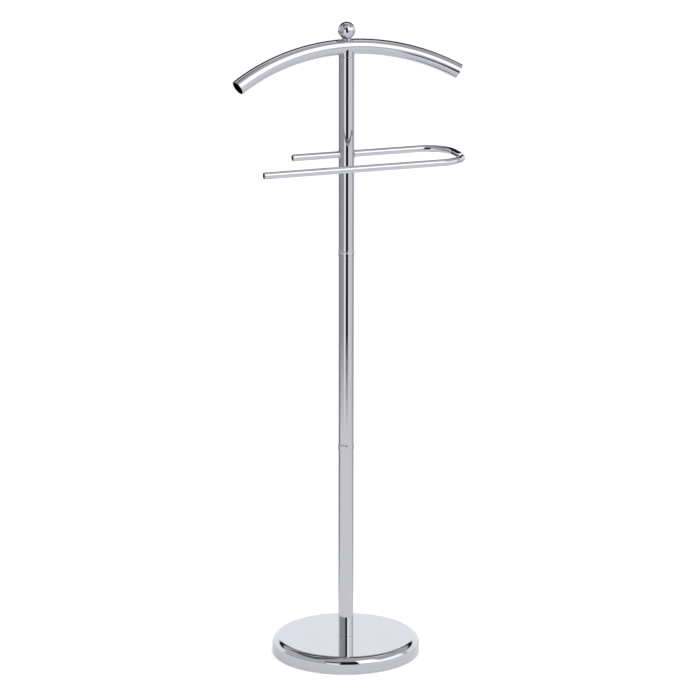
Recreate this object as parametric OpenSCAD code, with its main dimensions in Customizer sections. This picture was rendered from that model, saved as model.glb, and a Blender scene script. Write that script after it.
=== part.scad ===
// Valet stand: a weighted round base, a three-section screwed post, a U-shaped
// trouser bar welded through the post, and a bent tube hanger held by a ball finial.
// Millimetres. The origin is on the floor, on the post's axis. X runs along the
// hanger and the trouser bar, and the bar's front leg lies towards -Y.

/* [Base] */
// Outside diameter of the pressed base cover
base_d = 280; // [220:5:340]
// Height of the base's top face above the floor
base_h = 32; // [26:1:45]
// Radius of the cover's rounded shoulder
base_round = 14; // [8:1:18]
// Sheet thickness of the cover
cover_wall = 1.2; // [0.8:0.1:2]
// Height of the cover's lower edge above the floor
skirt_lift = 1.5; // [1:0.1:3]
// Width of the hem turned in under the bottom plate
hem_w = 3; // [2:0.5:6]
// Thickness of the bottom plate
plate_t = 1.5; // [1:0.1:3]
// Diameter of each non-slip pad
pad_d = 20; // [12:1:30]
// Number of pads
pad_count = 6; // [3:1:8]
// Diameter of the circle that the pads stand on
pad_circle_d = 226; // [150:1:240]

/* [Post] */
// Outside diameter of the post tube and of the hanger tube
tube_d = 28.6; // [25:0.2:32]
// Wall thickness of those tubes
tube_wall = 1.2; // [0.8:0.1:2]
// Length of the lower section, from the base to the lower seam
lower_len = 379.5; // [250:0.5:480]
// Length of the middle section, from seam to seam
middle_len = 374.5; // [250:0.5:480]
// Length of the upper section, from the upper seam to the post's top
upper_len = 365; // [280:0.5:480]
// Height of the ring at each seam
ring_h = 12; // [8:0.5:20]
// Height of the bead at the ring's top
bead_h = 4.5; // [3:0.5:7]
// How far the bead stands out from the tube
ring_proud = 0.9; // [0.5:0.1:1.4]
// How far the ring's sleeve, below the bead, stands out from the tube
sleeve_proud = 0.5; // [0.3:0.1:1]
// Thickness of the ring's lip between two sections
ring_lip = 1.2; // [0.8:0.1:2]

/* [Trouser bar] */
// Diameter of the round rod
bar_d = 12.7; // [9:0.1:15]
// Height of the bar above the upper seam
bar_rise = 182; // [60:0.5:240]
// Distance between the axes of the two legs
bar_reach = 129; // [90:1:160]
// Bend radius of the rod's axis at each corner
bar_bend = 53; // [25:1:60]
// Length of the back leg to the left of the post's axis
back_leg = 105.5; // [60:0.5:180]
// Length of the front leg to the left of the post's axis
front_leg = 203.5; // [60:0.5:240]
// Distance from the post's axis to the rod's axis at the closed end
bar_right = 195; // [130:1:230]
// Leg of the weld bead on each side of the post
weld_leg = 1.8; // [1:0.1:3]

/* [Hanger] */
// Bend radius of the hanger tube's axis
hanger_bend = 405.5; // [300:0.5:600]
// Angle from the hanger's middle to each end, along the bend
hanger_half_angle = 32; // [20:0.1:38]
// Distance along the bend from the tube's middle to its stud holes, to the right
hole_offset = 3.8; // [0:0.1:8]
// Forward lean of the hanger, towards the front leg of the bar
hanger_lean = 23; // [0:0.5:30]
// Height of the hanger's axis above the post's top, on the post's axis
saddle_rise = 18; // [16:0.5:30]
// How far the saddle's horns stop below the hanger's axis
horn_drop = 2.8; // [1:0.1:6]

/* [Finial] */
// Diameter of the ball
ball_d = 32; // [24:0.5:45]
// Diameter of the collar under the ball
collar_d = 17; // [14:0.5:24]
// Height of the collar above the top of the hanger tube
collar_t = 1.6; // [1:0.1:8]
// How far the ball's flat stops inside the collar's edge
flat_inset = 0.7; // [0.3:0.1:2]

/* [Fastenings] */
// Diameter of the bolt and of the studs between sections
joint_thread = 10; // [8:1:12]
// Diameter of the stud that holds the hanger and the ball
top_thread = 8; // [6:1:10]
// Length of each threaded plug
plug_len = 18; // [12:1:30]
// How far a stud or the bolt stops short of its plug's far end
stud_gap = 2; // [1:0.5:5]
// Radial clearance of a turning piece on its stud
running_fit = 0.08; // [0.04:0.01:0.1]
// Gap under a turning piece
swivel_gap = 0.3; // [0.3:0.05:0.6]
// Radial clearance of a loose hole around a bolt, rod or inner piece
loose_fit = 0.3; // [0.1:0.05:0.5]

/* [Hidden] */
$fn = 96;

// Heights of the levels that the pieces meet at
lower_seam = base_h + lower_len;
upper_seam = lower_seam + middle_len;
post_top = upper_seam + upper_len;
bar_z = upper_seam + bar_rise;
hanger_z = post_top + saddle_rise;
collar_top = hanger_z + tube_d / 2 + collar_t;
ball_seat = collar_top + swivel_gap;

// Radii used by several pieces
base_r = base_d / 2;
tube_r = tube_d / 2;
bore_r = tube_r - tube_wall;
bar_r = bar_d / 2;
joint_r = joint_thread / 2;
top_r = top_thread / 2;
ball_r = ball_d / 2;
ball_flat_r = collar_d / 2 - flat_inset;
ball_z = ball_seat + sqrt(ball_r * ball_r - ball_flat_r * ball_flat_r);

// Levels inside the base
plate_z = skirt_lift + cover_wall;
weight_z = plate_z + plate_t;
weight_top = base_h - cover_wall;

// Hexagon head and washers, in the usual proportions to the thread
head_h = 0.64 * joint_thread;
head_across = 1.7 * joint_thread;
washer_r = 1.1 * joint_thread;
washer_t = 2;
lock_r = 0.9 * joint_thread;
lock_t = 2.5;
lock_slot = 2;

// The bolt's head hangs in a recess of the weight, above the plate
head_room = 3;
recess_gap = 4;
washer_z = weight_z + head_room + head_h + lock_t;
recess_r = washer_r + recess_gap;

// Bevel on the ends of rods, plugs and studs
chamfer = 0.8;
// Thickness of a weld bead where it ends on the rod
weld_toe = 0.2;
// How far a cut runs past the face that it opens
over = 1;

// Round bar or hole standing on a height, with optional chamfered ends
module rod(r, z0, z1, c = 0) {
    rotate_extrude()
        polygon([[0, z0], [r - c, z0], [r, z0 + c], [r, z1 - c], [r - c, z1], [0, z1]]);
}

// Flat or tall ring between two radii
module ring(r_in, r_out, z0, z1) {
    rotate_extrude()
        translate([r_in, z0]) square([r_out - r_in, z1 - z0]);
}

// Half section of a round-shouldered disc
module shoulder_section(r, z0, z1, round_r) {
    translate([0, z0]) square([r, z1 - round_r - z0]);
    translate([0, z0]) square([r - round_r, z1 - z0]);
    intersection() {
        translate([r - round_r, z1 - round_r]) circle(r = round_r);
        translate([r - round_r, z1 - round_r]) square([round_r, round_r]);
    }
}

// Solid arc with the hanger's bend, leaning forward about the post's axis
module hanger_arc(r) {
    offset_angle = hole_offset / hanger_bend * 180 / PI;
    translate([0, 0, hanger_z])
        rotate([-hanger_lean, 0, 0])
            translate([0, 0, -hanger_bend])
                rotate([90, 0, 0])
                    rotate([0, 0, 90 - hanger_half_angle + offset_angle])
                        rotate_extrude(angle = 2 * hanger_half_angle, $fn = 8 * $fn)
                            translate([hanger_bend, 0]) circle(r = r);
}

// Tube section of the post
module post_tube(z0, z1) {
    ring(bore_r, tube_r, z0, z1);
}

// Threaded plug pressed into a tube's end
module plug(z0, thread_r) {
    difference() {
        rod(bore_r, z0, z0 + plug_len, chamfer);
        rod(thread_r, z0 - over, z0 + plug_len + over);
    }
}

// Ring over the joint of two sections: a sleeve, a bead above it, and inside the
// bead a lip that both tube ends meet
module joint_ring(seam) {
    difference() {
        union() {
            rod(tube_r + sleeve_proud, seam - ring_h, seam - bead_h / 2, sleeve_proud / 2);
            rod(tube_r + ring_proud, seam - bead_h, seam, ring_proud);
        }
        rod(tube_r, seam - ring_h - over, seam - ring_lip);
        rod(joint_r + loose_fit, seam - ring_lip - over, seam + over);
    }
}

// Stud through the lip, into the plugs below and above it
module joint_stud(seam) {
    rod(joint_r, seam - ring_lip - plug_len + stud_gap, seam + plug_len - stud_gap, chamfer);
}

module base_cover() {
    color("gainsboro")
    difference() {
        rotate_extrude() {
            difference() {
                shoulder_section(base_r, skirt_lift, base_h, base_round);
                shoulder_section(
                    base_r - cover_wall, skirt_lift - over, weight_top, base_round - cover_wall
                );
            }
            translate([base_r - cover_wall - hem_w, skirt_lift])
                square([hem_w + cover_wall / 2, cover_wall]);
        }
        rod(joint_r + loose_fit, 0, base_h + over);
    }
}

module base_weight() {
    inner_r = base_r - cover_wall - loose_fit;
    color("darkgray")
    difference() {
        rotate_extrude()
            shoulder_section(inner_r, weight_z, weight_top, base_round - cover_wall);
        rod(joint_r + loose_fit, 0, base_h);
        rod(recess_r, 0, washer_z + washer_t);
    }
}

module base_plate() {
    color("black")
    ring(recess_r, base_r - cover_wall - loose_fit, plate_z, weight_z);
}

module base_pads() {
    color("darkslategray")
    for (i = [0 : pad_count - 1])
        rotate([0, 0, (i + 0.5) * 360 / pad_count])
            translate([pad_circle_d / 2, 0, 0]) rod(pad_d / 2, 0, plate_z);
}

module base_bolt() {
    head_z = washer_z - lock_t - head_h;
    color("silver")
    union() {
        translate([0, 0, head_z]) cylinder(d = head_across / cos(30), h = head_h, $fn = 6);
        rod(joint_r, head_z + head_h / 2, base_h + plug_len - stud_gap, chamfer);
    }
}

module base_lock_washer() {
    color("darkgray")
    difference() {
        ring(joint_r + loose_fit, lock_r, washer_z - lock_t, washer_z);
        translate([0, -lock_slot / 2, washer_z - lock_t - over])
            cube([washer_r, lock_slot, lock_t + 2 * over]);
    }
}

module base_washer() {
    color("silver")
    ring(joint_r + loose_fit, washer_r, washer_z, washer_z + washer_t);
}

module lower_tube() {
    color("gainsboro") post_tube(base_h, lower_seam - ring_lip);
}

module lower_foot_plug() {
    color("darkgray") plug(base_h, joint_r);
}

module lower_top_plug() {
    color("darkgray") plug(lower_seam - ring_lip - plug_len, joint_r);
}

module lower_joint_stud() {
    color("silver") joint_stud(lower_seam);
}

module lower_joint_ring() {
    color("whitesmoke") joint_ring(lower_seam);
}

module middle_tube() {
    color("gainsboro") post_tube(lower_seam, upper_seam - ring_lip);
}

module middle_foot_plug() {
    color("darkgray") plug(lower_seam, joint_r);
}

module middle_top_plug() {
    color("darkgray") plug(upper_seam - ring_lip - plug_len, joint_r);
}

module upper_joint_stud() {
    color("silver") joint_stud(upper_seam);
}

module upper_joint_ring() {
    color("whitesmoke") joint_ring(upper_seam);
}

// Cylinder across the post along the bar's back leg
module across_post(r) {
    translate([-tube_d, 0, bar_z]) rotate([0, 90, 0]) cylinder(r = r, h = 2 * tube_d);
}

// The back leg of the trouser bar passes through two holes drilled across
module upper_tube() {
    color("gainsboro")
    difference() {
        post_tube(upper_seam, post_top);
        across_post(bar_r + loose_fit);
    }
}

module upper_foot_plug() {
    color("darkgray") plug(upper_seam, joint_r);
}

module upper_top_plug() {
    color("darkgray") plug(post_top - plug_len, top_r);
}

// One bent rod: back leg, two rounded corners at the closed end, front leg
module trouser_bar() {
    straight_x = bar_right - bar_bend;
    color("gainsboro")
    translate([0, 0, bar_z])
        union() {
            bar_leg(back_leg, straight_x, 0);
            bar_leg(front_leg, straight_x, -bar_reach);
            translate([straight_x, -bar_bend, 0]) bar_corner(0);
            translate([straight_x, bar_bend - bar_reach, 0]) bar_corner(-90);
            translate([bar_right, -bar_bend, 0])
                rotate([90, 0, 0]) cylinder(r = bar_r, h = bar_reach - 2 * bar_bend);
        }
}

// Straight leg from its chamfered free end to the start of the bend
module bar_leg(left, right, y) {
    length = left + right;
    translate([-left, y, 0])
        rotate([0, 90, 0])
            rotate_extrude()
                polygon([[0, 0], [bar_r - chamfer, 0], [bar_r, chamfer], [bar_r, length], [0, length]]);
}

// Quarter turn of the rod at a corner of the closed end
module bar_corner(turn) {
    rotate([0, 0, turn])
        rotate_extrude(angle = 90)
            translate([bar_bend, 0]) circle(r = bar_r);
}

// A fillet of weld around the rod on each side of the post. It stays within one
// leg of the rod and of the post, and its face slopes at 45 degrees between them
module bar_weld_beads() {
    reach = tube_r + weld_leg;
    toe_r = bar_r + weld_toe;
    color("gainsboro")
    for (side = [-1, 1])
        difference() {
            intersection() {
                translate([0, 0, bar_z])
                    rotate([0, side * 90, 0]) cylinder(r1 = toe_r + reach, r2 = weld_toe, h = reach + bar_r);
                across_post(bar_r + weld_leg);
                rod(reach, bar_z - tube_d, bar_z + tube_d);
            }
            across_post(bar_r);
            rod(tube_r, bar_z - tube_d, bar_z + tube_d);
        }
}

module hanger_stud() {
    color("silver")
    rod(top_r, post_top - plug_len + stud_gap, ball_z, chamfer);
}

// Short adaptor, flat on the post's top and coped to the underside of the hanger
module hanger_saddle() {
    color("gainsboro")
    difference() {
        rod(tube_r, post_top + swivel_gap, hanger_z - horn_drop);
        hanger_arc(tube_r);
        rod(top_r + running_fit, post_top - over, hanger_z);
    }
}

module hanger_tube() {
    color("gainsboro")
    difference() {
        hanger_arc(tube_r);
        hanger_arc(bore_r);
        rod(top_r + running_fit, post_top, collar_top);
    }
}

// Collar under the ball, coped to the top of the hanger
module finial_collar() {
    color("gainsboro")
    difference() {
        rod(collar_d / 2, hanger_z + tube_r / 2, collar_top);
        hanger_arc(tube_r);
        rod(top_r + running_fit, hanger_z, collar_top + over);
    }
}

module finial_ball() {
    color("whitesmoke")
    difference() {
        translate([0, 0, ball_z]) sphere(r = ball_r);
        translate([-ball_r, -ball_r, ball_seat - ball_d]) cube([ball_d, ball_d, ball_d]);
        rod(top_r + running_fit, ball_seat - over, ball_z + stud_gap);
    }
}

base_cover();
base_weight();
base_plate();
base_pads();
base_bolt();
base_washer();
base_lock_washer();
lower_tube();
lower_foot_plug();
lower_top_plug();
lower_joint_stud();
lower_joint_ring();
middle_tube();
middle_foot_plug();
middle_top_plug();
upper_joint_stud();
upper_joint_ring();
upper_tube();
upper_foot_plug();
upper_top_plug();
trouser_bar();
bar_weld_beads();
hanger_stud();
hanger_saddle();
hanger_tube();
finial_collar();
finial_ball();
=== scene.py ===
"""Valet stand: a chromed steel stand for a jacket and trousers.

The file follows the stand as it is put together, from the base up: base, post sections and their
rings, trouser bar, hanger and finial, and then the studio around it. Everything is in metres.
"""

from math import atan2, cos, hypot, pi, radians, sin, sqrt

import bpy
from mathutils import Matrix, Vector


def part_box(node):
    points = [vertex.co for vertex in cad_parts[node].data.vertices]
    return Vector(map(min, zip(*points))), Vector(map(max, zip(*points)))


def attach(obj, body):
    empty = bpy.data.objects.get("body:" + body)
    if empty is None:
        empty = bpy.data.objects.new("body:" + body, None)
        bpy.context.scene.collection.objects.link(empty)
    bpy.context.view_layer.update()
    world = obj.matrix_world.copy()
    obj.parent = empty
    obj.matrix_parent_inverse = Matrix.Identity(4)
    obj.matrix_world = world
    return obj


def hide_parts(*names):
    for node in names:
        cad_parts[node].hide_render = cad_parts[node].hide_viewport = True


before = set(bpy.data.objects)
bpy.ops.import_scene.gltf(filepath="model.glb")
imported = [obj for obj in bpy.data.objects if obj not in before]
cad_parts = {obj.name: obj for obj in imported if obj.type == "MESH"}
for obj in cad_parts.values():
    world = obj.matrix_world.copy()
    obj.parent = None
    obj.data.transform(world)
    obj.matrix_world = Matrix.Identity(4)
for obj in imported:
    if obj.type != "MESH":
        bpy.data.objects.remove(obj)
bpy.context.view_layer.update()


# ---------------------------------------------------------------- base cover
# A round disc pressed from thin steel sheet, with a rounded shoulder, a short skirt and
# a hem turned in under it. Polished and chromed all over, so its top is a mirror.

def edit(piece):
    """Opens a piece in edit mode with nothing selected."""
    bpy.ops.object.select_all(action="DESELECT")
    bpy.context.view_layer.objects.active = piece
    piece.select_set(True)
    bpy.ops.object.mode_set(mode="EDIT")
    bpy.ops.mesh.select_mode(type="VERT")
    bpy.ops.mesh.select_all(action="DESELECT")


def done():
    """Closes edit mode."""
    bpy.ops.object.mode_set(mode="OBJECT")


def settle(piece, name):
    """Names a new piece and moves its place into its mesh."""
    piece.name = name
    piece.data.name = name
    bpy.ops.object.select_all(action="DESELECT")
    bpy.context.view_layer.objects.active = piece
    piece.select_set(True)
    bpy.ops.object.transform_apply(location=True, rotation=True, scale=True)
    return piece


def modify(piece, kind, **settings):
    """Adds a modifier with these settings and applies it."""
    modifier = piece.modifiers.new(kind.lower(), kind)
    for key, value in settings.items():
        setattr(modifier, key, value)
    bpy.ops.object.select_all(action="DESELECT")
    bpy.context.view_layer.objects.active = piece
    piece.select_set(True)
    bpy.ops.object.modifier_apply(modifier=modifier.name)
    return piece


def polish(piece, crease=35):
    """Smooth shading up to the crease angle, with flat faces kept flat next to bevels."""
    bpy.ops.object.select_all(action="DESELECT")
    bpy.context.view_layer.objects.active = piece
    piece.select_set(True)
    bpy.ops.object.shade_smooth_by_angle(angle=radians(crease))
    modify(piece, "WEIGHTED_NORMAL", keep_sharp=True, weight=60)
    return piece


def turned(name, outline, steps=192):
    """A piece turned about the post's axis. The outline is extruded point by point from one
    vertex, as (radius, height) pairs, and spun. A closed outline ends on its first point."""
    bpy.ops.object.select_all(action="DESELECT")
    bpy.ops.mesh.primitive_plane_add(size=0.001, location=(outline[0][0], 0, outline[0][1]))
    piece = settle(bpy.context.object, name)
    edit(piece)
    bpy.ops.mesh.select_all(action="SELECT")
    bpy.ops.mesh.merge(type="CENTER")
    for (r0, z0), (r1, z1) in zip(outline, outline[1:]):
        bpy.ops.mesh.extrude_region_move(TRANSFORM_OT_translate={"value": (r1 - r0, 0, z1 - z0)})
    bpy.ops.mesh.select_all(action="SELECT")
    bpy.ops.mesh.spin(steps=steps, angle=2 * pi, center=(0, 0, 0), axis=(0, 0, 1))
    bpy.ops.mesh.select_all(action="SELECT")
    bpy.ops.mesh.remove_doubles(threshold=1e-6)
    bpy.ops.mesh.normals_make_consistent(inside=False)
    done()
    return piece


def arc(r, z, radius, start, end, points=8):
    """Points of a round corner about (r, z), between two angles in degrees."""
    turn = [radians(start + (end - start) * i / points) for i in range(points + 1)]
    return [(r + radius * cos(a), z + radius * sin(a)) for a in turn]


def wall_outline(r_in, r_out, z0, z1, ease):
    """Closed outline of a tube wall or ring whose four edges are eased."""
    near = min(3 * ease, (z1 - z0) / 3)
    corners = (
        arc(r_out - ease, z0 + ease, ease, -90, 0, 4)
        + [(r_out, z0 + near), (r_out, z1 - near)]
        + arc(r_out - ease, z1 - ease, ease, 0, 90, 4)
        + arc(r_in + ease, z1 - ease, ease, 90, 180, 4)
        + [(r_in, z1 - near), (r_in, z0 + near)]
        + arc(r_in + ease, z0 + ease, ease, 180, 270, 4)
    )
    return corners + corners[:1]


def socket(group, name, way, kind, value=None):
    """Adds a named input or output to a node group."""
    made = group.interface.new_socket(name=name, in_out=way, socket_type=kind)
    if value is not None:
        made.default_value = value
    return made


def node_in(tree, kind, **settings):
    """A node of this kind with its settings, and with inputs given by position or name."""
    made = tree.nodes.new(kind)
    for key, value in settings.pop("inputs", {}).items():
        made.inputs[key].default_value = value
    for key, value in settings.items():
        setattr(made, key, value)
    return made


def handled_group():
    """Faint wiping marks and finger haze: a roughness mask and a height for fine scratches."""
    group = bpy.data.node_groups.new("handled", "ShaderNodeTree")
    socket(group, "Vector", "INPUT", "NodeSocketVector")
    socket(group, "Haze Scale", "INPUT", "NodeSocketFloat", 9.0)
    socket(group, "Scratch Scale", "INPUT", "NodeSocketFloat", 160.0)
    socket(group, "Haze", "OUTPUT", "NodeSocketFloat")
    socket(group, "Scratches", "OUTPUT", "NodeSocketFloat")
    start = group.nodes.new("NodeGroupInput")
    end = group.nodes.new("NodeGroupOutput")
    cloud = node_in(group, "ShaderNodeTexNoise", inputs={"Detail": 5.0, "Roughness": 0.62})
    wipe = node_in(group, "ShaderNodeMapRange", inputs={"From Min": 0.46, "From Max": 0.74})
    stretch = node_in(group, "ShaderNodeMapping", inputs={"Scale": (1.0, 1.0, 0.06)})
    lines = node_in(group, "ShaderNodeTexNoise", inputs={"Detail": 2.0, "Roughness": 0.5})
    thin = node_in(group, "ShaderNodeMapRange", inputs={"From Min": 0.66, "From Max": 0.74})
    group.links.new(start.outputs["Vector"], cloud.inputs["Vector"])
    group.links.new(start.outputs["Haze Scale"], cloud.inputs["Scale"])
    group.links.new(cloud.outputs["Fac"], wipe.inputs["Value"])
    group.links.new(start.outputs["Vector"], stretch.inputs["Vector"])
    group.links.new(stretch.outputs["Vector"], lines.inputs["Vector"])
    group.links.new(start.outputs["Scratch Scale"], lines.inputs["Scale"])
    group.links.new(lines.outputs["Fac"], thin.inputs["Value"])
    group.links.new(wipe.outputs["Result"], end.inputs["Haze"])
    group.links.new(thin.outputs["Result"], end.inputs["Scratches"])
    return group


def edge_rub_group():
    """Where handling has rubbed the sharp edges: a mask from how far a point stands out."""
    group = bpy.data.node_groups.new("edge_rub", "ShaderNodeTree")
    socket(group, "Vector", "INPUT", "NodeSocketVector")
    socket(group, "Start", "INPUT", "NodeSocketFloat", 0.53)
    socket(group, "Rub", "OUTPUT", "NodeSocketFloat")
    start = group.nodes.new("NodeGroupInput")
    end = group.nodes.new("NodeGroupOutput")
    shape = group.nodes.new("ShaderNodeNewGeometry")
    standing = node_in(group, "ShaderNodeMath", operation="SUBTRACT")
    strong = node_in(group, "ShaderNodeMath", operation="MULTIPLY", use_clamp=True, inputs={1: 12.0})
    patchy = node_in(group, "ShaderNodeTexNoise", inputs={"Scale": 70.0, "Detail": 4.0})
    broken = node_in(group, "ShaderNodeMapRange", inputs={"From Min": 0.35, "From Max": 0.65})
    both = node_in(group, "ShaderNodeMath", operation="MULTIPLY")
    group.links.new(shape.outputs["Pointiness"], standing.inputs[0])
    group.links.new(start.outputs["Start"], standing.inputs[1])
    group.links.new(standing.outputs[0], strong.inputs[0])
    group.links.new(start.outputs["Vector"], patchy.inputs["Vector"])
    group.links.new(patchy.outputs["Fac"], broken.inputs["Value"])
    group.links.new(strong.outputs[0], both.inputs[0])
    group.links.new(broken.outputs["Result"], both.inputs[1])
    group.links.new(both.outputs[0], end.inputs["Rub"])
    return group


handled = handled_group()
edge_rub = edge_rub_group()


def new_material(name):
    """A material with only its Principled shader: returns it, its tree and the shader."""
    made = bpy.data.materials.new(name)
    made.use_nodes = True
    return made, made.node_tree, made.node_tree.nodes["Principled BSDF"]


def put_group(tree, group, place, **inputs):
    """Places a node group in a material, on the piece's own coordinates."""
    made = tree.nodes.new("ShaderNodeGroup")
    made.node_tree = group
    tree.links.new(place.outputs["Object"], made.inputs["Vector"])
    for key, value in inputs.items():
        made.inputs[key.replace("_", " ")].default_value = value
    return made


def chrome(name, colour, worn, clean, hazy, wave_scale, wave):
    """Bright chrome plate. clean and hazy are the roughness of wiped and of handled metal,
    and wave is the height of the slight unevenness left by polishing the steel below."""
    made, tree, shader = new_material(name)
    place = tree.nodes.new("ShaderNodeTexCoord")
    marks = put_group(tree, handled, place)
    rub = put_group(tree, edge_rub, place)
    tint = node_in(tree, "ShaderNodeMix", data_type="RGBA")
    tint.inputs["A"].default_value = (*colour, 1)
    tint.inputs["B"].default_value = (*worn, 1)
    tree.links.new(rub.outputs["Rub"], tint.inputs["Factor"])
    tree.links.new(tint.outputs["Result"], shader.inputs["Base Color"])
    gloss = node_in(tree, "ShaderNodeMapRange", inputs={"To Min": clean, "To Max": hazy})
    tree.links.new(marks.outputs["Haze"], gloss.inputs["Value"])
    rubbed = node_in(tree, "ShaderNodeMath", operation="MULTIPLY_ADD", inputs={1: 0.12})
    tree.links.new(rub.outputs["Rub"], rubbed.inputs[0])
    tree.links.new(gloss.outputs["Result"], rubbed.inputs[2])
    tree.links.new(rubbed.outputs[0], shader.inputs["Roughness"])
    uneven = node_in(tree, "ShaderNodeTexNoise", inputs={"Scale": wave_scale, "Detail": 1.5})
    tree.links.new(place.outputs["Object"], uneven.inputs["Vector"])
    scored = node_in(tree, "ShaderNodeMath", operation="MULTIPLY_ADD", inputs={1: -0.12})
    tree.links.new(marks.outputs["Scratches"], scored.inputs[0])
    tree.links.new(uneven.outputs["Fac"], scored.inputs[2])
    bump = node_in(tree, "ShaderNodeBump", inputs={"Strength": 1.0, "Distance": wave})
    tree.links.new(scored.outputs[0], bump.inputs["Height"])
    tree.links.new(bump.outputs["Normal"], shader.inputs["Normal"])
    shader.inputs["Metallic"].default_value = 1.0
    return made


def dress(piece, material, slot, body, *nodes):
    """Gives a piece its material, its body and the CAD nodes that it stands for. The slot is not used.
    """
    piece.data.materials.clear()
    piece.data.materials.append(material)
    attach(piece, body)
    if nodes:
        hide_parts(*nodes)
    return piece


cover_low, cover_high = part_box("base_cover")
cover_r = cover_high.x
skirt_z = cover_low.z
base_top = cover_high.z
cover_wall = 0.0012
cover_round = 0.014
hem_w = 0.003
cover_bore = 0.0053
skirt_ease = 0.0008
loop_gap = 0.0006

chrome_white = (0.555, 0.558, 0.585)
chrome_worn = (0.44, 0.44, 0.45)
sheet_chrome = chrome("sheet_chrome", chrome_white, chrome_worn, 0.012, 0.022, 14.0, 0.000003)

shoulder_r = cover_r - cover_round
shoulder_z = base_top - cover_round
# loops close to the corners keep the flat top's shading flat
cover_outline = (
    [(cover_bore, base_top), (cover_bore + loop_gap, base_top), (shoulder_r - loop_gap, base_top)]
    + arc(shoulder_r, shoulder_z, cover_round, 90, 0, 28)
    + [(cover_r, skirt_z + skirt_ease)]
    + arc(cover_r - skirt_ease, skirt_z + skirt_ease, skirt_ease, 0, -90, 5)
    + [(cover_r - cover_wall - hem_w, skirt_z), (cover_r - cover_wall - hem_w, skirt_z + cover_wall)]
    + [(cover_r - cover_wall, skirt_z + cover_wall), (cover_r - cover_wall, shoulder_z)]
    + arc(shoulder_r, shoulder_z, cover_round - cover_wall, 0, 90, 20)
    + [(cover_bore, base_top - cover_wall), (cover_bore, base_top)]
)
cover = turned("base_cover_sheet", cover_outline, 256)
polish(cover, 50)
dress(cover, sheet_chrome, "chrome_sheet", "stand", "base_cover")


# ---------------------------------------------------------------- base filling and plate
# Cast cement fills the cover and keeps the stand upright. A black enamelled steel plate,
# held by the hem, closes it, and six glued rubber pads stand on the floor.

def grain_group():
    """Grit, pits and blotches: a colour mask and a height, at a given scale."""
    group = bpy.data.node_groups.new("grain", "ShaderNodeTree")
    socket(group, "Vector", "INPUT", "NodeSocketVector")
    socket(group, "Grit Scale", "INPUT", "NodeSocketFloat", 900.0)
    socket(group, "Blotch Scale", "INPUT", "NodeSocketFloat", 30.0)
    socket(group, "Blotch", "OUTPUT", "NodeSocketFloat")
    socket(group, "Height", "OUTPUT", "NodeSocketFloat")
    start = group.nodes.new("NodeGroupInput")
    end = group.nodes.new("NodeGroupOutput")
    grit = node_in(group, "ShaderNodeTexNoise", inputs={"Detail": 3.0, "Roughness": 0.6})
    pits = node_in(group, "ShaderNodeTexVoronoi", feature="F1")
    hollow = node_in(group, "ShaderNodeMapRange", inputs={"From Min": 0.0, "From Max": 0.28})
    blotch = node_in(group, "ShaderNodeTexNoise", inputs={"Detail": 6.0, "Roughness": 0.6})
    height = node_in(group, "ShaderNodeMath", operation="MULTIPLY")
    for texture, scale in ((grit, "Grit Scale"), (pits, "Grit Scale"), (blotch, "Blotch Scale")):
        group.links.new(start.outputs["Vector"], texture.inputs["Vector"])
        group.links.new(start.outputs[scale], texture.inputs["Scale"])
    group.links.new(pits.outputs["Distance"], hollow.inputs["Value"])
    group.links.new(hollow.outputs["Result"], height.inputs[0])
    group.links.new(grit.outputs["Fac"], height.inputs[1])
    group.links.new(blotch.outputs["Fac"], end.inputs["Blotch"])
    group.links.new(height.outputs[0], end.inputs["Height"])
    return group


grain = grain_group()


def grained(name, dark, light, smooth, rough, relief, metal=0.0, **scales):
    """A material with grain: two blotch colours, two roughnesses and the height of its relief."""
    made, tree, shader = new_material(name)
    place = tree.nodes.new("ShaderNodeTexCoord")
    mix = put_group(tree, grain, place, **scales)
    tone = node_in(tree, "ShaderNodeMix", data_type="RGBA")
    tone.inputs["A"].default_value = (*dark, 1)
    tone.inputs["B"].default_value = (*light, 1)
    tree.links.new(mix.outputs["Blotch"], tone.inputs["Factor"])
    tree.links.new(tone.outputs["Result"], shader.inputs["Base Color"])
    gloss = node_in(tree, "ShaderNodeMapRange", inputs={"To Min": smooth, "To Max": rough})
    tree.links.new(mix.outputs["Blotch"], gloss.inputs["Value"])
    tree.links.new(gloss.outputs["Result"], shader.inputs["Roughness"])
    bump = node_in(tree, "ShaderNodeBump", inputs={"Strength": 0.8, "Distance": relief})
    tree.links.new(mix.outputs["Height"], bump.inputs["Height"])
    tree.links.new(bump.outputs["Normal"], shader.inputs["Normal"])
    shader.inputs["Metallic"].default_value = metal
    return made


weight_low, weight_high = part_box("base_weight")
plate_low, plate_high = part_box("base_plate")
washer_low, washer_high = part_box("base_washer")
spanner_room = 0.004
recess_r = washer_high.x + spanner_room
filling_r = weight_high.x
filling_round = cover_round - cover_wall
filling_ease = 0.001

cement = grained(
    "cement", (0.34, 0.335, 0.32), (0.56, 0.55, 0.53), 0.8, 0.95, 0.0006, Grit_Scale=420.0
)
filling_outline = (
    arc(recess_r + filling_ease, weight_low.z + filling_ease, filling_ease, 180, 270, 3)
    + arc(filling_r - filling_ease, weight_low.z + filling_ease, filling_ease, 270, 360, 3)
    + [(filling_r, weight_high.z - filling_round)]
    + arc(filling_r - filling_round, weight_high.z - filling_round, filling_round, 0, 90, 14)
    + [(cover_bore, weight_high.z), (cover_bore, washer_high.z), (recess_r, washer_high.z)]
)
filling = turned("base_filling", filling_outline + filling_outline[:1], 128)
polish(filling, 40)
dress(filling, cement, "cement", "stand", "base_weight")

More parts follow.
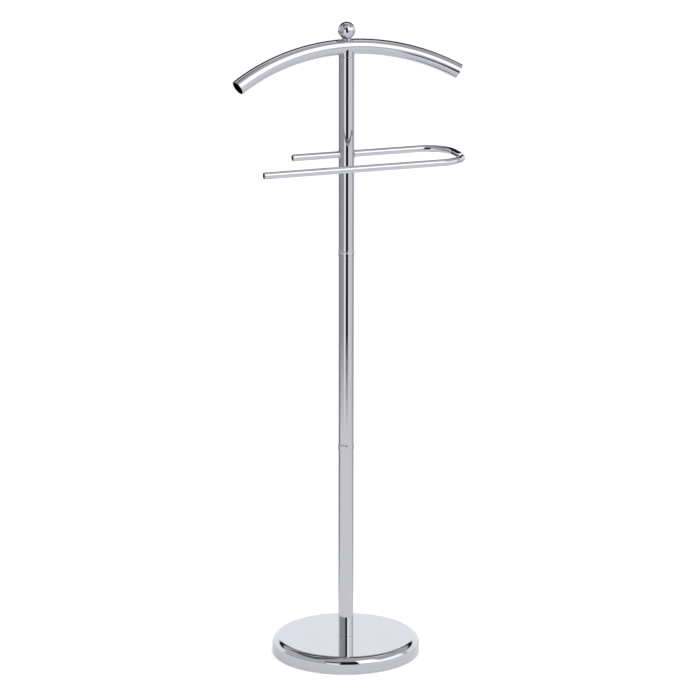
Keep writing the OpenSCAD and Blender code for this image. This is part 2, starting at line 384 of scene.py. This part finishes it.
lacquer = grained(
    "black_lacquer", (0.018, 0.018, 0.019), (0.032, 0.032, 0.033), 0.32, 0.5, 0.00006,
    Grit_Scale=700.0,
)
plate_ease = 0.0004
plate_outline = wall_outline(recess_r, plate_high.x, plate_low.z, plate_high.z, plate_ease)
plate = turned("base_bottom_plate", plate_outline, 192)
polish(plate, 40)
dress(plate, lacquer, "black_plate", "stand", "base_plate")

rubber = grained(
    "pad_rubber", (0.022, 0.024, 0.025), (0.042, 0.044, 0.046), 0.68, 0.85, 0.0001,
    Grit_Scale=1500.0,
)
pad_count = 6
pad_r = 0.010
pad_circle = 0.113
pad_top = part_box("base_pads")[1].z
pad_ease = 0.0004
groove_depth = 0.0005
groove_mouth = 0.0006
groove_foot = 0.0003
pad_outline = [(0, 0)]
for groove_r in (0.0034, 0.0066):
    pad_outline += [(groove_r - groove_mouth, 0), (groove_r - groove_foot, groove_depth)]
    pad_outline += [(groove_r + groove_foot, groove_depth), (groove_r + groove_mouth, 0)]
pad_outline += arc(pad_r - pad_ease, pad_ease, pad_ease, -90, 0, 4)
pad_outline += arc(pad_r - pad_ease, pad_top - pad_ease, pad_ease, 0, 90, 4)
pad_outline += [(0, pad_top)]
for number in range(pad_count):
    turn = (number + 0.5) * 2 * pi / pad_count
    pad = turned(f"base_pad_{number + 1}", pad_outline, 48)
    polish(pad, 40)
    pad.data.transform(Matrix.Translation((pad_circle * cos(turn), pad_circle * sin(turn), 0)))
    dress(pad, rubber, "pad_rubber", "stand", "base_pads")


# ---------------------------------------------------------------- base bolt
# A zinc-plated hexagon bolt comes up through a plain washer, a split spring washer and the
# filling, and pulls the post down on the cover.

zinc = grained(
    "zinc_plate", (0.47, 0.47, 0.45), (0.66, 0.66, 0.66), 0.24, 0.42, 0.00003, metal=1.0,
    Grit_Scale=1300.0, Blotch_Scale=260.0,
)


def cut_thread(piece, r, pitch, z0, z1):
    """Sinks a helical V thread into the dense wall of a turned rod, running out at both ends."""
    depth = 0.55 * pitch
    for v in piece.data.vertices:
        x, y, z = v.co
        if hypot(x, y) > 0.98 * r and z0 < z < z1:
            phase = (z / pitch - atan2(y, x) / (2 * pi)) % 1
            run_out = min(1, (z - z0) / pitch, (z1 - z) / pitch)
            shrink = 1 - depth * run_out * (1 - abs(2 * phase - 1)) / r
            v.co.x = x * shrink
            v.co.y = y * shrink
    return piece


def stud_outline(r, z0, z1, chamfer, pitch):
    """Outline of a rod with chamfered ends and rings close enough together for its thread."""
    rings = int((z1 - z0 - 2 * chamfer) / pitch * 7)
    wall = [(r, z0 + chamfer + (z1 - z0 - 2 * chamfer) * i / rings) for i in range(rings + 1)]
    return [(0, z0), (r - chamfer, z0)] + wall + [(r - chamfer, z1), (0, z1)]


def open_faces(piece, wanted):
    """Opens a piece in edit mode with only the wanted faces selected."""
    edit(piece)
    bpy.ops.mesh.select_mode(type="FACE")
    done()
    for face in piece.data.polygons:
        face.select = wanted(face)
    bpy.ops.object.mode_set(mode="EDIT")


bolt_low, bolt_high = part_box("base_bolt")
lock_low, lock_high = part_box("base_lock_washer")
joint_r = 0.005
joint_pitch = 0.0015
chamfer = 0.0008
head_across = 0.017
head_ease = 0.0005
head_rim = 0.0022
dish_edge = 0.0006
dish_depth = 0.0005
shank_in_head = 0.002
plain_shank = 0.001
thread_end = 0.0006

bolt = turned(
    "base_bolt_shank",
    stud_outline(joint_r, lock_low.z - shank_in_head, bolt_high.z, chamfer, joint_pitch), 48
)
cut_thread(bolt, joint_r, joint_pitch, lock_high.z + plain_shank, bolt_high.z - thread_end)
bpy.ops.object.select_all(action="DESELECT")
bpy.ops.mesh.primitive_cylinder_add(
    vertices=6, radius=head_across / 2 / cos(pi / 6), depth=lock_low.z - bolt_low.z,
    location=(0, 0, (lock_low.z + bolt_low.z) / 2), rotation=(0, 0, radians(30)),
)
head = settle(bpy.context.object, "base_bolt_head")
modify(head, "BEVEL", width=head_ease, segments=3, limit_method="ANGLE")
open_faces(head, lambda face: face.normal.z < -0.99 and face.area > 1e-5)
bpy.ops.mesh.inset(thickness=head_rim, depth=0)
bpy.ops.mesh.inset(thickness=dish_edge, depth=-dish_depth)
done()
modify(head, "BOOLEAN", operation="UNION", solver="EXACT", object=bolt)
bpy.data.objects.remove(bolt)
head.name = "base_hex_bolt"
polish(head, 30)
dress(head, zinc, "zinc_steel", "stand", "base_bolt")

washer_ease = 0.0003
loose_fit = 0.0003
hole_r = joint_r + loose_fit
washer = turned(
    "base_plain_washer",
    wall_outline(hole_r, washer_high.x, washer_low.z, washer_high.z, washer_ease), 96
)
polish(washer)
dress(washer, zinc, "zinc_steel", "stand", "base_washer")

spring = turned(
    "base_spring_washer",
    wall_outline(hole_r, lock_high.y, lock_low.z, lock_high.z, washer_ease), 96
)
saw_size = (0.012, 0.002, 0.006)
saw_x = 0.008
saw_tilt = radians(25)
bpy.ops.object.select_all(action="DESELECT")
bpy.ops.mesh.primitive_cube_add(
    size=1, scale=saw_size, location=(saw_x, 0, (lock_low.z + lock_high.z) / 2),
    rotation=(saw_tilt, 0, 0),
)
saw = settle(bpy.context.object, "saw_cut")
modify(spring, "BOOLEAN", operation="DIFFERENCE", solver="EXACT", object=saw)
bpy.data.objects.remove(saw)
polish(spring)
dress(spring, zinc, "zinc_steel", "stand", "base_lock_washer")


# ---------------------------------------------------------------- post sections
# Three lengths of chromed steel tube. A threaded steel plug is pressed into each tube end,
# and the upper section is drilled across where the trouser bar passes through it.

tube_chrome = chrome("tube_chrome", chrome_white, chrome_worn, 0.012, 0.035, 22.0, 0.00001)
tube_wall = 0.0012
tube_ease = 0.0003
bar_low, bar_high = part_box("trouser_bar")
bar_z = (bar_low.z + bar_high.z) / 2
bar_r = (bar_high.z - bar_low.z) / 2
weld_leg = 0.0018
loop_beyond = 0.001
weld_reach = bar_r + weld_leg + loop_beyond


def drill(piece, r, along, centre, length):
    """Drills a round hole through a piece, about a line through centre."""
    bpy.ops.object.select_all(action="DESELECT")
    bpy.ops.mesh.primitive_cylinder_add(
        vertices=64, radius=r, depth=length, location=centre,
        rotation=Vector(along).to_track_quat("Z", "Y").to_euler(),
    )
    bit = settle(bpy.context.object, "drill_bit")
    modify(piece, "BOOLEAN", operation="DIFFERENCE", solver="EXACT", object=bit)
    bpy.data.objects.remove(bit)
    return piece


def post_tube(name, node, levels=()):
    """One tube of the post, with extra rings at the given levels."""
    low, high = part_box(node)
    r_out = high.x
    r_in = r_out - tube_wall
    outline = wall_outline(r_in, r_out, low.z, high.z, tube_ease)
    for level in levels:
        at = next(i for i, (r, z) in enumerate(outline) if r > r_in + tube_ease and z > level)
        outline.insert(at, (r_out, level))
    for level in levels:
        inner = next(i for i, (r, z) in enumerate(outline) if r < r_in + 1e-7 and z < level)
        outline.insert(inner, (r_in, level))
    return turned(name, outline, 128)


for name, node in (("post_lower_tube", "lower_tube"), ("post_middle_tube", "middle_tube")):
    tube = post_tube(name, node)
    polish(tube)
    dress(tube, tube_chrome, "chrome_tube", "stand", node)

tube = post_tube("post_upper_tube", "upper_tube", (bar_z - weld_reach, bar_z + weld_reach))
drill(tube, bar_r + loose_fit, (1, 0, 0), (0, 0, bar_z), 0.06)
polish(tube)
dress(tube, tube_chrome, "chrome_tube", "stand", "upper_tube")

plug_steel = grained(
    "plug_steel", (0.40, 0.39, 0.37), (0.56, 0.56, 0.55), 0.3, 0.5, 0.00004, metal=1.0,
    Grit_Scale=1100.0, Blotch_Scale=180.0,
)
thread_groove = 0.0004
thread_lead = 0.001


def plug(name, node, thread_r, pitch):
    """A pressed-in plug: eased outside edges, a countersunk bore and its thread's grooves."""
    low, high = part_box(node)
    outside = arc(high.x - chamfer, low.z + chamfer, chamfer, -90, 0, 3)
    outside += arc(high.x - chamfer, high.z - chamfer, chamfer, 0, 90, 3)
    turns = int((high.z - low.z - 2 * thread_lead) / pitch)
    inside = [(thread_r + thread_groove, high.z)]
    for i in range(turns):
        top = high.z - thread_lead - i * pitch
        inside += [(thread_r, top), (thread_r, top - pitch / 8)]
        inside += [(thread_r + thread_groove, top - pitch / 2), (thread_r, top - 7 * pitch / 8)]
    inside += [(thread_r, low.z + chamfer), (thread_r + thread_groove, low.z)]
    piece = turned(name, outside + inside + outside[:1], 64)
    polish(piece, 30)
    return dress(piece, plug_steel, "zinc_steel", "stand", node)


top_r = 0.004
top_pitch = 0.00125
for section in ("lower", "middle", "upper"):
    plug(f"post_{section}_foot_plug", section + "_foot_plug", joint_r, joint_pitch)
    r, pitch = (top_r, top_pitch) if section == "upper" else (joint_r, joint_pitch)
    plug(f"post_{section}_top_plug", section + "_top_plug", r, pitch)


# ---------------------------------------------------------------- joint rings and studs
# A turned ring sits on each seam, a little proud of the tubes, with a lip between their
# ends. A threaded stud through the lip draws the two sections together.

ring_chrome = chrome("ring_chrome", chrome_white, chrome_worn, 0.015, 0.035, 30.0, 0.00001)
lip_t = 0.0012
ring_ease = 0.0002
bead_h = 0.0045
sleeve_proud = 0.0005
sleeve_round = 0.0002
bead_start = radians(-67.5)
bead_steps = 18
lip_sunk = 0.0005

for place in ("lower", "upper"):
    low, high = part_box(place + "_joint_ring")
    tube_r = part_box(place + "_tube")[1].x
    sleeve_r = tube_r + sleeve_proud
    bead_r = high.x - tube_r - sleeve_round
    bead_turns = [bead_start + (pi / 2 - bead_start) * i / bead_steps for i in range(bead_steps + 1)]
    bead = [
        (tube_r + sleeve_round + bead_r * cos(a), high.z - bead_h / 2 + bead_h / 2 * sin(a))
        for a in bead_turns
    ]
    outline = (
        arc(sleeve_r - ring_ease, low.z + ring_ease, ring_ease, -90, 0, 4)
        + bead
        + [(tube_r - lip_sunk, high.z), (hole_r, high.z), (hole_r, high.z - lip_t)]
        + [(tube_r, high.z - lip_t), (tube_r, low.z + sleeve_round), (tube_r + sleeve_round, low.z)]
    )
    ring = turned(place + "_seam_ring", outline + outline[:1], 128)
    polish(ring, 40)
    dress(ring, ring_chrome, "chrome_turned", "stand", place + "_joint_ring")

    low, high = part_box(place + "_joint_stud")
    stud = turned(
        place + "_seam_stud", stud_outline(joint_r, low.z, high.z, chamfer, joint_pitch), 48
    )
    cut_thread(stud, joint_r, joint_pitch, low.z + chamfer, high.z - chamfer)
    polish(stud, 60)
    dress(stud, zinc, "zinc_steel", "stand", place + "_joint_stud")


# ---------------------------------------------------------------- trouser bar
# One solid rod bent into a level U. Its back leg runs through the post and is welded to it
# on both sides, and its front leg stands clear. The whole is chromed after welding.

rod_chrome = chrome("rod_chrome", chrome_white, chrome_worn, 0.015, 0.04, 26.0, 0.00001)
bar_bend = 0.053
back_y = 0.0
front_y = bar_low.y + bar_r
closed_x = bar_high.x - bar_r
straight_x = closed_x - bar_bend
back_end_x = -0.1055
front_end_x = bar_low.x

bpy.ops.object.select_all(action="DESELECT")
bpy.ops.mesh.primitive_circle_add(
    vertices=64, radius=bar_r, location=(front_end_x, front_y, bar_z), rotation=(0, pi / 2, 0)
)
bar = settle(bpy.context.object, "trouser_bar_rod")
edit(bar)
bpy.ops.mesh.select_all(action="SELECT")
bpy.ops.mesh.extrude_region_move(TRANSFORM_OT_translate={"value": (straight_x - front_end_x, 0, 0)})
bpy.ops.mesh.spin(
    steps=24, angle=-pi / 2, center=(straight_x, front_y + bar_bend, bar_z), axis=(0, 0, 1)
)
across = back_y - front_y - 2 * bar_bend
bpy.ops.mesh.extrude_region_move(TRANSFORM_OT_translate={"value": (0, across, 0)})
bpy.ops.mesh.spin(
    steps=24, angle=-pi / 2, center=(straight_x, back_y - bar_bend, bar_z), axis=(0, 0, 1)
)
bpy.ops.mesh.extrude_region_move(TRANSFORM_OT_translate={"value": (back_end_x - straight_x, 0, 0)})
bpy.ops.mesh.select_all(action="SELECT")
bpy.ops.mesh.remove_doubles(threshold=1e-6)
bpy.ops.mesh.select_all(action="DESELECT")
bpy.ops.mesh.select_non_manifold()
bpy.ops.mesh.fill_holes(sides=0)
bpy.ops.mesh.select_all(action="SELECT")
bpy.ops.mesh.normals_make_consistent(inside=False)
done()
modify(bar, "BEVEL", width=chamfer, segments=4, limit_method="ANGLE", angle_limit=radians(40))
polish(bar)
dress(bar, rod_chrome, "chrome_rod", "stand", "trouser_bar")

weld_chrome = chrome("weld_chrome", (0.50, 0.50, 0.52), chrome_worn, 0.06, 0.16, 300.0, 0.0001)
tube_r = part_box("upper_tube")[1].x
ripples = 34
ripple_height = 0.10
weld_body = 0.72 * weld_leg
bead_gap = 0.0002
bead_lift = 0.0003
bead_flat = 0.8
for side, word in ((-1, "left"), (1, "right")):
    bpy.ops.object.select_all(action="DESELECT")
    bpy.ops.mesh.primitive_torus_add(
        major_segments=204, minor_segments=16, major_radius=bar_r + weld_leg - weld_body,
        minor_radius=weld_body, location=(0, 0, bar_z), rotation=(0, pi / 2, 0),
    )
    bead = settle(bpy.context.object, f"bar_weld_{word}")
    for v in bead.data.vertices:
        around = atan2(v.co.z - bar_z, v.co.y)
        seat = sqrt(tube_r ** 2 - (bar_r * cos(around)) ** 2)
        swell = 1 + ripple_height * abs(sin(around * ripples / 2))
        v.co.x = side * (seat + bead_gap + (v.co.x + bead_lift) * bead_flat * swell)
    edit(bead)
    bpy.ops.mesh.select_all(action="SELECT")
    bpy.ops.mesh.normals_make_consistent(inside=False)
    done()
    polish(bead, 60)
    dress(bead, weld_chrome, "chrome_weld", "stand", "bar_weld_beads")


# ---------------------------------------------------------------- hanger
# A length of the post's tube, bent to the line of the shoulders and left open at its ends.
# It sits in a coped saddle on the post's top, leans forward, and turns on a stud.

hanger_bend = 0.4055
half_angle = radians(32)
hole_offset = 0.0038 / hanger_bend
lean = radians(23)
saddle_rise = 0.018
horn_drop = 0.0028
stud_bore_r = top_r + 0.00008
post_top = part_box("upper_tube")[1].z
hanger_z = post_top + saddle_rise
lean_turn = Matrix.Rotation(-lean, 4, "X")
bend_centre = Vector((0, 0, hanger_z)) + lean_turn @ Vector((0, 0, -hanger_bend))
bend_axis = lean_turn @ Vector((0, 1, 0))


def bent_tube(name, r, rings, sides):
    """Surface of the hanger's bend: a circle at its left end is spun about the bend's centre."""
    to_end = lean_turn @ Matrix.Rotation(-half_angle - hole_offset, 4, "Y")
    start = to_end @ Vector((0, 0, hanger_bend))
    facing = to_end @ Matrix.Rotation(pi / 2, 4, "Y")
    bpy.ops.object.select_all(action="DESELECT")
    bpy.ops.mesh.primitive_circle_add(
        vertices=sides, radius=r, location=bend_centre + start, rotation=facing.to_euler()
    )
    piece = settle(bpy.context.object, name)
    edit(piece)
    bpy.ops.mesh.select_all(action="SELECT")
    bpy.ops.mesh.spin(steps=rings, angle=-2 * half_angle, center=bend_centre, axis=bend_axis)
    bpy.ops.mesh.select_all(action="SELECT")
    bpy.ops.mesh.remove_doubles(threshold=1e-6)
    bpy.ops.mesh.normals_make_consistent(inside=False)
    done()
    return piece


hanger = bent_tube("hanger_bent_tube", tube_r, 128, 96)
modify(hanger, "SOLIDIFY", thickness=tube_wall, offset=-1, use_rim=True)
modify(hanger, "BEVEL", width=tube_ease, segments=3, limit_method="ANGLE", angle_limit=radians(50))
drill(hanger, stud_bore_r, (0, 0, 1), (0, 0, hanger_z), 0.05)
polish(hanger)
dress(hanger, tube_chrome, "chrome_tube", "hanger", "hanger_tube")

saddle_low, saddle_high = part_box("hanger_saddle")
saddle_ease = 0.0004
mouth_r = top_r + 0.0005
mouth_h = 0.0003
saddle_outline = (
    [(stud_bore_r, saddle_low.z + mouth_h), (mouth_r, saddle_low.z)]
    + arc(tube_r - saddle_ease, saddle_low.z + saddle_ease, saddle_ease, -90, 0, 4)
    + [(tube_r, hanger_z - horn_drop), (stud_bore_r, hanger_z - horn_drop)]
)
saddle = turned("hanger_coped_saddle", saddle_outline + saddle_outline[:1], 128)


def cope(piece):
    """Cuts the hanger's bend out of a piece, so that the piece fits round the tube."""
    cutter = bent_tube("coping_cutter", tube_r, 128, 96)
    edit(cutter)
    bpy.ops.mesh.select_non_manifold()
    bpy.ops.mesh.fill_holes(sides=0)
    bpy.ops.mesh.select_all(action="SELECT")
    bpy.ops.mesh.normals_make_consistent(inside=False)
    done()
    modify(piece, "BOOLEAN", operation="DIFFERENCE", solver="EXACT", object=cutter)
    bpy.data.objects.remove(cutter)
    return piece


cope(saddle)
polish(saddle, 30)
dress(saddle, ring_chrome, "chrome_turned", "hanger", "hanger_saddle")

stud_low, stud_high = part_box("hanger_stud")
plain_middle = 0.02
stud = turned(
    "hanger_pivot_stud", stud_outline(top_r, stud_low.z, stud_high.z, chamfer, top_pitch), 48
)
cut_thread(stud, top_r, top_pitch, stud_low.z + chamfer, post_top - 0.001)
cut_thread(stud, top_r, top_pitch, saddle_high.z + plain_middle, stud_high.z - chamfer)
polish(stud, 60)
dress(stud, zinc, "zinc_steel", "stand", "hanger_stud")


# ---------------------------------------------------------------- finial
# A polished steel ball screwed down on the stud over a short collar. It clamps the hanger
# in its saddle, and turns by hand.

collar_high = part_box("finial_collar")[1]
collar_r = 0.0085
collar_ease = 0.0005
collar_outline = (
    [(stud_bore_r, hanger_z + tube_r / 2), (collar_r, hanger_z + tube_r / 2)]
    + arc(collar_r - collar_ease, collar_high.z - collar_ease, collar_ease, 0, 90, 5)
    + [(stud_bore_r, collar_high.z)]
)
collar = turned("finial_coped_collar", collar_outline + collar_outline[:1], 96)
cope(collar)
polish(collar, 30)
dress(collar, ring_chrome, "chrome_turned", "hanger", "finial_collar")

ball_chrome = chrome("ball_chrome", chrome_white, chrome_worn, 0.01, 0.025, 18.0, 0.000006)
ball_low, ball_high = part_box("finial_ball")
ball_r = (ball_high.x - ball_low.x) / 2
ball_z = ball_high.z - ball_r
hole_top = ball_z + 0.002
hole_length = 0.031
ball_ease = 0.0003
bpy.ops.object.select_all(action="DESELECT")
bpy.ops.mesh.primitive_uv_sphere_add(segments=128, ring_count=64, radius=ball_r, location=(0, 0, ball_z))
ball = settle(bpy.context.object, "finial_turned_ball")
edit(ball)
bpy.ops.mesh.select_all(action="SELECT")
bpy.ops.mesh.bisect(
    plane_co=(0, 0, ball_low.z), plane_no=(0, 0, 1), use_fill=True, clear_inner=True
)
done()
drill(ball, stud_bore_r, (0, 0, 1), (0, 0, hole_top - hole_length / 2), hole_length)
modify(ball, "BEVEL", width=ball_ease, segments=2, limit_method="ANGLE", angle_limit=radians(40))
polish(ball, 30)
dress(ball, ball_chrome, "chrome_turned", "finial", "finial_ball")


# ---------------------------------------------------------------- studio
# A pale floor in a white room of light and dark panels, with a black card behind the stand
# that only reflections see. Turns are measured from the direction towards the camera.

view_azimuth = radians(-19.52)
view_distance = 7.0
view_height = 2.466
view_pitch = radians(14.945)
view_turn = radians(-0.027)
view_roll = radians(0.08)

world = bpy.data.worlds.new("studio")
bpy.context.scene.world = world
world.use_nodes = True
tree = world.node_tree
tree.nodes.clear()
direction = tree.nodes.new("ShaderNodeTexCoord")


def component(axis):
    """How far the direction goes along an axis."""
    made = node_in(tree, "ShaderNodeVectorMath", operation="DOT_PRODUCT")
    made.inputs[1].default_value = axis
    tree.links.new(direction.outputs["Generated"], made.inputs[0])
    return made.outputs["Value"]


def reckon(operation, *values, clamp=False):
    """A math node on sockets or numbers."""
    made = node_in(tree, "ShaderNodeMath", operation=operation, use_clamp=clamp)
    for i, value in enumerate(values):
        if isinstance(value, (int, float)):
            made.inputs[i].default_value = value
        else:
            tree.links.new(value, made.inputs[i])
    return made.outputs[0]


to_camera = component((sin(view_azimuth), -cos(view_azimuth), 0))
to_right = component((cos(view_azimuth), sin(view_azimuth), 0))
azimuth = reckon("MULTIPLY", reckon("ARCTAN2", to_right, to_camera), 180 / pi)
elevation = reckon("MULTIPLY", reckon("ARCSINE", component((0, 0, 1))), 180 / pi)


def window(value, low, high, soft):
    """1 between low and high degrees, falling to 0 over soft degrees outside."""
    middle = (low + high) / 2
    away = reckon("SUBTRACT", reckon("ABSOLUTE", reckon("SUBTRACT", value, middle)), (high - low) / 2)
    return reckon("SUBTRACT", 1.0, reckon("DIVIDE", away, soft, clamp=True), clamp=True)


def panel(below, turn, rise, colour, soft=(3, 3)):
    """Lays a light or dark panel over what is below, between azimuths and elevations in degrees."""
    mask = reckon("MULTIPLY", window(azimuth, *turn, soft[0]), window(elevation, *rise, soft[1]))
    made = node_in(tree, "ShaderNodeMix", data_type="RGBA")
    tree.links.new(mask, made.inputs["Factor"])
    tree.links.new(below, made.inputs["A"])
    made.inputs["B"].default_value = (*colour, 1)
    return made.outputs["Result"]


room = node_in(tree, "ShaderNodeRGB")
room.outputs[0].default_value = (0.60, 0.60, 0.63, 1)
light = room.outputs[0]
# below the horizon: pale all round, dimmer to the sides, with a bright strip on each side in front
light = panel(light, (-180, 180), (-90, -6), (0.95, 0.96, 1.02))
light = panel(light, (-180, -44), (-28, -4), (0.46, 0.46, 0.53), (12, 3))
light = panel(light, (94, 180), (-28, -4), (0.60, 0.60, 0.65), (12, 3))
light = panel(light, (-31, -13), (-28, -2), (1.3, 1.3, 1.35))
light = panel(light, (26, 88), (-28, -4), (1.0, 1.0, 1.06), (6, 3))
# the grey wall on the left, and a dark patch high above it
light = panel(light, (-130, -38), (4, 40), (0.66, 0.66, 0.71), (6, 6))
light = panel(light, (-150, -62), (52, 80), (0.13, 0.13, 0.15), (10, 6))
# behind the stand, on both sides of where the turn wraps round: a low light, a black rail, a high light
for back in (180, -180):
    light = panel(light, (back - 66, back + 66), (-6, 22), (1.18, 1.19, 1.25), (8, 3))
    light = panel(light, (back - 45, back + 45), (26, 31), (0.02, 0.02, 0.02), (8, 2))
    light = panel(light, (back - 40, back + 40), (56, 65), (1.2, 1.2, 1.22), (20, 4))
# a black patch low at the back on the left
light = panel(light, (-152, -130), (-24, -8), (0.04, 0.04, 0.05), (5, 4))
# the two main lights, on the right
light = panel(light, (22, 54), (17, 50), (2.0, 2.0, 2.05), (5, 13))
light = panel(light, (50, 96), (8, 28), (1.7, 1.7, 1.75), (10, 8))
# a small light in front on the left, with a dark blind above it
light = panel(light, (-28, -11), (-2, 12), (1.45, 1.45, 1.5))
light = panel(light, (-34, -8), (25, 36), (0.05, 0.05, 0.06))
# the dark gap round the camera, and a dark patch below it
light = panel(light, (-7, 18), (-6, 40), (0.012, 0.012, 0.016), (4, 10))
light = panel(light, (-7, 25), (-19, -9), (0.012, 0.012, 0.016), (4, 4))

seen = tree.nodes.new("ShaderNodeLightPath")
shown = node_in(tree, "ShaderNodeMix", data_type="RGBA")
shown.inputs["B"].default_value = (1.02, 1.02, 1.02, 1)
tree.links.new(seen.outputs["Is Camera Ray"], shown.inputs["Factor"])
tree.links.new(light, shown.inputs["A"])
sky = tree.nodes.new("ShaderNodeBackground")
tree.links.new(shown.outputs["Result"], sky.inputs["Color"])
surroundings = tree.nodes.new("ShaderNodeOutputWorld")
tree.links.new(sky.outputs["Background"], surroundings.inputs["Surface"])

floor_reach = 2.5
floor_back = 7.0
bpy.ops.object.select_all(action="DESELECT")
bpy.ops.mesh.primitive_plane_add(size=1, location=(0, 0, 0))
floor = settle(bpy.context.object, "studio_floor")
toward = Vector((sin(view_azimuth), -cos(view_azimuth), 0))
aside = Vector((cos(view_azimuth), sin(view_azimuth), 0))
for v in floor.data.vertices:
    near = v.co.y < 0
    v.co = toward * (floor_reach if near else -floor_back) + aside * (v.co.x * 2 * floor_back)
floor_paint, tree, shader = new_material("studio_floor_paint")
shader.inputs["Base Color"].default_value = (0.86, 0.86, 0.87, 1)
shader.inputs["Roughness"].default_value = 0.9
shader.inputs["Specular IOR Level"].default_value = 0.1
place = tree.nodes.new("ShaderNodeTexCoord")
seen = tree.nodes.new("ShaderNodeLightPath")
strength = node_in(tree, "ShaderNodeMix", data_type="FLOAT", inputs={"A": 0.16, "B": 0.42})
tree.links.new(seen.outputs["Is Camera Ray"], strength.inputs["Factor"])
glow = tree.nodes.new("ShaderNodeEmission")
tree.links.new(strength.outputs["Result"], glow.inputs["Strength"])
lit = tree.nodes.new("ShaderNodeAddShader")
tree.links.new(shader.outputs["BSDF"], lit.inputs[0])
tree.links.new(glow.outputs["Emission"], lit.inputs[1])
# to everything but the camera, the floor ends in front of its edges and close behind the base
away = node_in(tree, "ShaderNodeVectorMath", operation="LENGTH")
tree.links.new(place.outputs["Object"], away.inputs[0])
fade = node_in(tree, "ShaderNodeMapRange", inputs={"From Min": 1.5, "From Max": 2.4})
tree.links.new(away.outputs["Value"], fade.inputs["Value"])
behind = node_in(tree, "ShaderNodeVectorMath", operation="DOT_PRODUCT", inputs={1: -toward})
tree.links.new(place.outputs["Object"], behind.inputs[0])
rear = node_in(tree, "ShaderNodeMapRange", inputs={"From Min": 0.15, "From Max": 0.35})
tree.links.new(behind.outputs["Value"], rear.inputs["Value"])
past_end = node_in(tree, "ShaderNodeMath", operation="MAXIMUM")
tree.links.new(fade.outputs["Result"], past_end.inputs[0])
tree.links.new(rear.outputs["Result"], past_end.inputs[1])
not_camera = node_in(tree, "ShaderNodeMath", operation="SUBTRACT", inputs={0: 1.0})
tree.links.new(seen.outputs["Is Camera Ray"], not_camera.inputs[1])
ended = node_in(tree, "ShaderNodeMath", operation="MULTIPLY")
tree.links.new(past_end.outputs[0], ended.inputs[0])
tree.links.new(not_camera.outputs[0], ended.inputs[1])
side = tree.nodes.new("ShaderNodeNewGeometry")
clear = node_in(tree, "ShaderNodeMath", operation="MAXIMUM")
tree.links.new(ended.outputs[0], clear.inputs[0])
tree.links.new(side.outputs["Backfacing"], clear.inputs[1])
shown = tree.nodes.new("ShaderNodeMixShader")
tree.links.new(clear.outputs[0], shown.inputs["Fac"])
tree.links.new(lit.outputs["Shader"], shown.inputs[1])
tree.links.new(tree.nodes.new("ShaderNodeBsdfTransparent").outputs["BSDF"], shown.inputs[2])
tree.links.new(shown.outputs["Shader"], tree.nodes["Material Output"].inputs["Surface"])
floor.data.materials.append(floor_paint)

bpy.ops.object.select_all(action="DESELECT")
bpy.ops.mesh.primitive_plane_add(size=1, rotation=(pi / 2, 0, view_azimuth))
card = settle(bpy.context.object, "studio_black_card")
card_h = 1.38
card_w = 1.95
card_place = Vector((0, 0, 1.91)) - toward - 0.22 * aside
for v in card.data.vertices:
    v.co = v.co * card_h + aside * (v.co.dot(aside) * (card_w - card_h)) + card_place
card_paint, tree, shader = new_material("studio_black_card_paint")
shader.inputs["Base Color"].default_value = (0.01, 0.01, 0.01, 1)
shader.inputs["Roughness"].default_value = 0.9
shader.inputs["Specular IOR Level"].default_value = 0.0
card.data.materials.append(card_paint)
card.visible_camera = False
card.visible_diffuse = False
card.visible_shadow = False

lamp_data = bpy.data.lights.new("overhead_panel", "AREA")
lamp_data.shape = "DISK"
lamp_data.size = 3.0
lamp_data.energy = 60
lamp = bpy.data.objects.new("overhead_panel", lamp_data)
bpy.context.scene.collection.objects.link(lamp)
lamp.location = (-0.4, -1.2, 4.5)
lamp.visible_glossy = False
lamp.rotation_euler = (Vector((0, 0, 0.4)) - lamp.location).to_track_quat("-Z", "Y").to_euler()

camera_data = bpy.data.cameras.new("camera")
camera_data.lens = 200.4
camera_data.sensor_width = 36
camera_data.clip_end = 100
camera = bpy.data.objects.new("camera", camera_data)
bpy.context.scene.collection.objects.link(camera)
camera.location = view_distance * toward + Vector((0, 0, view_height))
aim = Matrix.Rotation(view_azimuth + view_turn, 4, "Z") @ Matrix.Rotation(pi / 2 - view_pitch, 4, "X")
camera.rotation_euler = (aim @ Matrix.Rotation(view_roll, 4, "Z")).to_euler()
bpy.context.scene.camera = camera
bpy.context.scene.view_settings.view_transform = "Standard"
